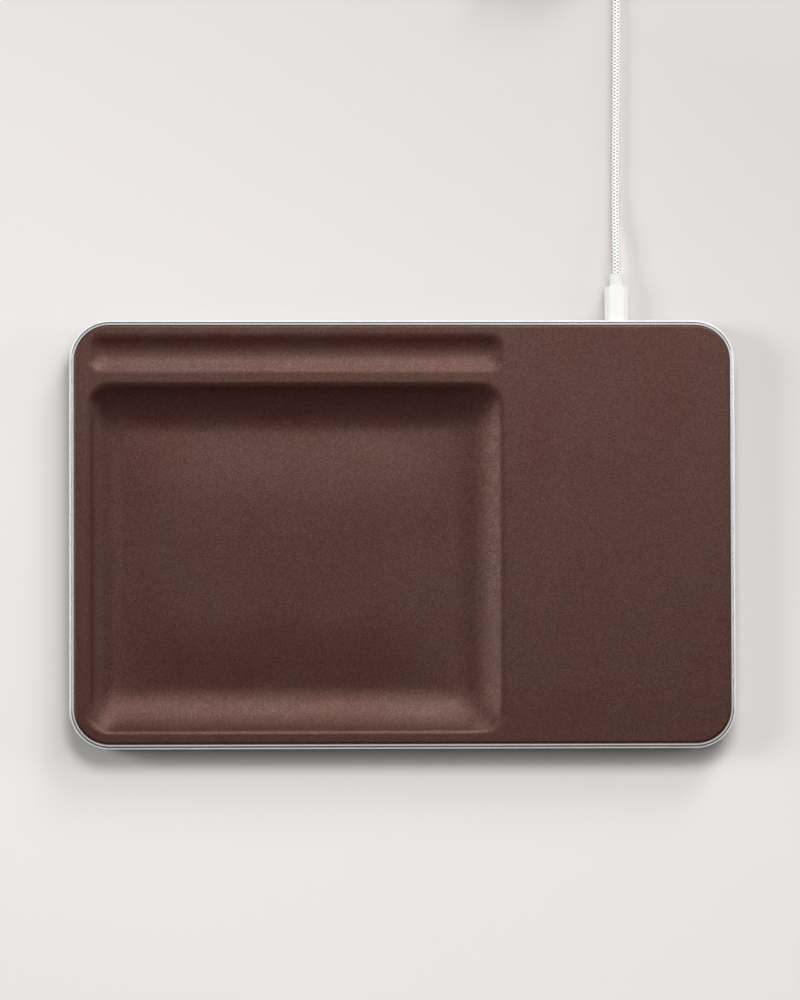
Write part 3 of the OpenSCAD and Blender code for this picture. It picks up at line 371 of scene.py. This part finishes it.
def tube_mesh(name, path, d, sides, mat):
    """A closed tube along a path in metres, with the coordinate map that its braid is drawn on."""
    path = np.asarray(path)
    ahead = np.gradient(path, axis=0)
    ahead /= np.linalg.norm(ahead, axis=1)[:, None]
    side = np.cross([0, 0, 1.0], ahead)
    side /= np.linalg.norm(side, axis=1)[:, None]
    up = np.cross(ahead, side)
    turn = math.tau * np.arange(sides) / sides
    rings = (path[:, None, :] + d / 2 * (np.cos(turn)[None, :, None] * side[:, None, :]
                                         + np.sin(turn)[None, :, None] * up[:, None, :]))
    n = len(path)
    points = rings.reshape(-1, 3)
    faces = []
    for i in range(n - 1):
        for k in range(sides):
            m = (k + 1) % sides
            faces.append((i * sides + k, (i + 1) * sides + k, (i + 1) * sides + m, i * sides + m))
    faces.append(tuple(range(sides)))
    faces.append(tuple(range(n * sides - 1, (n - 1) * sides - 1, -1)))
    obj = add_mesh(name, points, faces, mat)
    run = np.concatenate([[0], np.cumsum(np.linalg.norm(np.diff(path, axis=0), axis=1))]) / BRAID_PITCH
    uv = obj.data.uv_layers.new(name="tube")
    for face in obj.data.polygons[:(n - 1) * sides]:
        i, k = divmod(face.index, sides)
        for loop, (di, dk) in zip(face.loop_indices, ((0, 0), (1, 0), (1, 1), (0, 1))):
            uv.data[loop].uv = ((k + dk) / sides, run[i + di])
    return obj


coil_steps = 60
wound = wind_route(coil_steps)
lead = smooth_route(lead_route, 0.8)
tail = smooth_route(tail_route, 1.2)
cord_path = np.vstack([lead, np.array(wound), tail]) * MM
keep = np.concatenate([[True], np.linalg.norm(np.diff(cord_path, axis=0), axis=1) > 1e-5])
cord_path = cord_path[keep]
cord = tube_mesh("charging_cord", cord_path, CORD_D * MM, 24, braid_mat)
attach(cord, "cable")
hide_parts("cable_lead", "cable_coil", "cable_tail")

# ---------------------------------------------------------------- leather
TRAY_H, LEDGE_Z, LEATHER_T, FIT = 15.0, 10.6, 1.2, 0.1
LX, LY, LR = 134.0, 85.5, 14.5
ROLL_W, ROLL_DROP = 1.0, 0.45
# A wall of a hollow of a given width: a soft edge that turns down to its steepest angle, and a cove
# that turns back to the floor
def wall(depth, run, edge):
    steep = 2 * math.atan(depth / run)
    return dict(edge=edge, cove=depth / (1 - math.cos(steep)) - edge, steep=steep, run=run)


# Each hollow: its box (left, right, front, back), its walls in the same order, its depth, and its
# corner radius at the top and at the floor
RECESS = dict(box=(-129.5, 42.3, -81.7, 62.6), depth=7.0, top_r=9.5, floor_r=6.0,
              walls=[wall(7, 15, 3), wall(7, 21.8, 6), wall(7, 19.2, 3), wall(7, 20.8, 4.5)])
GROOVE = dict(box=(-129.0, 42.3, 65.5, 82.8), depth=1.5, top_r=6.0, floor_r=0.1,
              walls=[wall(1.5, 9, 7), wall(1.5, 9, 7), wall(1.5, 8.1, 7.5), wall(1.5, 8.9, 10)])
# Steps along a corner arc and a side of a ring, down a wall, over the floor's swell and round the
# outer edge
ARC, SIDE, WALL, SWELL, ROLL = 12, 26, 36, 12, 8
RING = 4 * (ARC + 1 + SIDE)
# Height of the padded swell of the recess's floor, and the distance over which it rises
SWELL_H, SWELL_RUN = 1.2, 32.0


def wall_inset(drop, depth, w, deep):
    shrink = min(deep, w["edge"] - 0.3)
    edge, cove = w["edge"] - shrink, w["cove"] + shrink
    if drop <= edge * (1 - math.cos(w["steep"])):
        return edge * math.sin(math.acos(1 - drop / edge))
    return w["run"] - cove * math.sin(math.acos(min(1, 1 - (depth - drop) / cove)))


def wall_depth(s, depth, w):
    """How far a wall has fallen at a distance in from its edge."""
    if s <= w["edge"] * math.sin(w["steep"]):
        return w["edge"] * (1 - math.cos(math.asin(max(0, s) / w["edge"])))
    left = max(0, w["run"] - s)
    return depth - w["cove"] * (1 - math.cos(math.asin(left / w["cove"])))


def ring(box, r, z):
    """A rounded rectangle from its front right corner on. Points lie closest near the corners."""
    r = min(r, min(box[1] - box[0], box[3] - box[2]) / 2 - 0.05)
    corners = []
    for c in range(4):
        cx = box[1] - r if c < 2 else box[0] + r
        cy = box[3] - r if c in (1, 2) else box[2] + r
        turns = [math.pi / 2 * (c - 1 + i / ARC) for i in range(ARC + 1)]
        corners.append([(cx + r * math.cos(a), cy + r * math.sin(a), z) for a in turns])
    points = []
    for c in range(4):
        (x0, y0, _), (x1, y1, _) = corners[c][-1], corners[(c + 1) % 4][0]
        shares = [(1 - math.cos(math.pi * k / (SIDE + 1))) / 2 for k in range(1, SIDE + 1)]
        points += corners[c] + [(x0 + (x1 - x0) * t, y0 + (y1 - y0) * t, z) for t in shares]
    return points


def hollow_rings(box, walls, depth, top_r, floor_r, deep, steps, swell):
    """Rings from a hollow's edge to its floor. Where two walls meet, their depths are multiplied."""
    rings = []
    for j in range(steps + 1):
        drop = depth * (1 - math.cos(math.pi * j / steps)) / 2
        s = [wall_inset(drop, depth, w, deep) for w in walls]
        inner = (box[0] + s[0], box[1] - s[1], box[2] + s[2], box[3] - s[3])
        level = ring(inner, top_r + (floor_r - top_r) * s[1] / walls[1]["run"], TRAY_H - deep - drop)
        if not deep:
            level = [(x, y, TRAY_H - min(drop, met_depth(x, y, box, walls, depth))) for x, y, _ in level]
        rings.append(level)
    for k in range(1, SWELL + 1 if swell else 1):
        t = SWELL_RUN * (k / SWELL) ** 1.3
        inside = (inner[0] + t, inner[1] - t, inner[2] + t, inner[3] - t)
        level = ring(inside, floor_r, 0)
        rings.append([(x, y, TRAY_H - depth + swell * swell_share(x, y, inner)) for x, y, _ in level])
    return rings


def swell_share(x, y, inner):
    """Height of the padded floor from 0 at the foot of the walls to 1 in its middle."""
    ways = (x - inner[0], inner[1] - x, y - inner[2], inner[3] - y)
    return math.prod((1 - (1 - min(1, max(0, way) / SWELL_RUN)) ** 2) ** 1.4 for way in ways)


def met_depth(x, y, box, walls, depth):
    shares = [wall_depth(s, depth, w) / depth
              for s, w in zip((x - box[0], box[1] - x, y - box[2], box[3] - y), walls)]
    return depth * math.prod(shares)


def edge_rings(deep):
    full_r = (ROLL_W ** 2 + ROLL_DROP ** 2) / (2 * ROLL_DROP)
    steep = math.asin(ROLL_W / full_r)
    r = max(full_r - deep, 0.25)
    w = r * math.sin(steep)
    rings = []
    for j in range(ROLL + 2):
        a = steep * min(j, ROLL) / ROLL
        z = LEDGE_Z if j > ROLL else TRAY_H - deep - r * (1 - math.cos(a))
        inset = FIT + deep + w - r * math.sin(a)
        rings.append(ring((-LX + inset, LX - inset, -LY + inset, LY - inset), LR - inset, z))
    return rings


def band(outer, inner):
    return [(outer + i, inner + i, inner + (i + 1) % RING, outer + (i + 1) % RING) for i in range(RING)]


def face_faces(stacks, first):
    recess, groove = first, first + RING * len(stacks[0])
    edge = groove + RING * len(stacks[1])
    faces = []
    for start, stack in ((recess, stacks[0]), (groove, stacks[1])):
        for j in range(len(stack) - 1):
            faces += band(start + RING * j, start + RING * (j + 1))
    for j in range(len(stacks[2]) - 1):
        faces += band(edge + RING * (j + 1), edge + RING * j)
    faces.append(tuple(range(groove - 1, groove - RING - 1, -1)))
    faces.append(tuple(range(edge - 1, edge - RING - 1, -1)))
    sheet = [(edge, stacks[2][0]), (recess, stacks[0][0]), (groove, stacks[1][0])]
    number = [start + i for start, _ in sheet for i in range(RING)]
    flat = [Vector(p[:2]) for _, one in sheet for p in one]
    loops = [(RING * k + i, RING * k + (i + 1) % RING) for k in range(3) for i in range(RING)]
    _, _, sheets, origin, _, _ = delaunay_2d_cdt(flat, loops, [], 1, 1e-6)
    for a, b, c in sheets:
        a, b, c = origin[a][0], origin[b][0], origin[c][0]
        if 0 < a // RING == b // RING == c // RING:
            continue
        if (flat[b] - flat[a]).cross(flat[c] - flat[a]) > 0:
            a, b = b, a
        faces.append((number[a], number[b], number[c]))
    return faces


def leather_stacks(deep, steps, swell):
    return [hollow_rings(deep=deep, steps=steps, swell=swell, **RECESS),
            hollow_rings(deep=deep, steps=steps, swell=0, **GROOVE), edge_rings(deep)]


top, under = leather_stacks(0, WALL, SWELL_H), leather_stacks(LEATHER_T, 10, 0)
points = [p for face in (top, under) for stack in face for one in stack for p in one]
top_rings = sum(len(s) for s in top)
under_rings = sum(len(s) for s in under)
faces = face_faces(top, 0)
faces += [tuple(reversed(f)) for f in face_faces(under, RING * top_rings)]
faces += [tuple(reversed(f)) for f in band(RING * (top_rings - 1), RING * (top_rings + under_rings - 1))]
faces = [tuple(reversed(f)) for f in faces]
leather = add_mesh("leather_top", np.array(points) * MM, faces, leather_mat)
weigh = leather.modifiers.new("weighted", "WEIGHTED_NORMAL")
weigh.keep_sharp = True
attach(leather, "tray")
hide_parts("leather_cover")

# ---------------------------------------------------------------- floor and light
floor_mat, tree, bsdf = new_material("floor")
place = tree.nodes.new("ShaderNodeSeparateXYZ")
tree.links.new(coords(tree), place.inputs[0])
slant = math_node(tree, "ADD", math_node(tree, "MULTIPLY", place.outputs[0], 0.45),
                  math_node(tree, "MULTIPLY", place.outputs[1], 1.0))
# Painted shade: the floor's colour grows darker from the front left towards the back right, standing in for dimmer
# light there.
floor_painted_shade = ramp(tree, math_node(tree, "ADD", slant, 0.5), (0.3, (0.840, 0.811, 0.793)), (0.45, (0.796, 0.765, 0.750)), (0.6, (0.704, 0.673, 0.658)), (0.75, (0.592, 0.569, 0.554)))
tree.links.new(floor_painted_shade, bsdf.inputs["Base Color"])
bsdf.inputs["Roughness"].default_value = 0.7
floor = add_mesh("floor", [(-6, -6, 0), (6, -6, 0), (6, 6, 0), (-6, 6, 0)], [(0, 1, 2, 3)], floor_mat, False)

world = bpy.data.worlds.new("world")
bpy.context.scene.world = world
world.use_nodes = True
world.node_tree.nodes["Background"].inputs[0].default_value = (*srgb(232, 229, 226), 1)
world.node_tree.nodes["Background"].inputs[1].default_value = 0.09


def soft_light(name, azimuth, zenith, far, size, power):
    """A square lamp aimed at the tray. Azimuth 0 is the back and 90 the right."""
    data = bpy.data.lights.new(name, "AREA")
    data.shape = "SQUARE"
    data.size = size
    data.energy = power
    lamp = bpy.data.objects.new(name, data)
    a, z = math.radians(azimuth), math.radians(zenith)
    way = Vector((math.sin(a) * math.sin(z), math.cos(a) * math.sin(z), math.cos(z)))
    lamp.location = way * far
    lamp.rotation_mode = "QUATERNION"
    lamp.rotation_quaternion = way.to_track_quat("Z", "Y")
    bpy.context.collection.objects.link(lamp)


soft_light("key", 25, 31, 1.5, 0.60, 5.5)
soft_light("back", 0, 32, 1.5, 0.45, 7.1)
soft_light("rear", 25, 63, 3.0, 1.00, 34)
soft_light("side", 52, 52, 3.0, 0.90, 7)
soft_light("left", -80, 62, 3.0, 1.00, 40)
soft_light("right", 80, 71, 3.0, 0.90, 16)
soft_light("top", 0, 5, 1.5, 0.90, 1.3)
soft_light("front", 180, 45, 1.5, 0.45, 0.8)
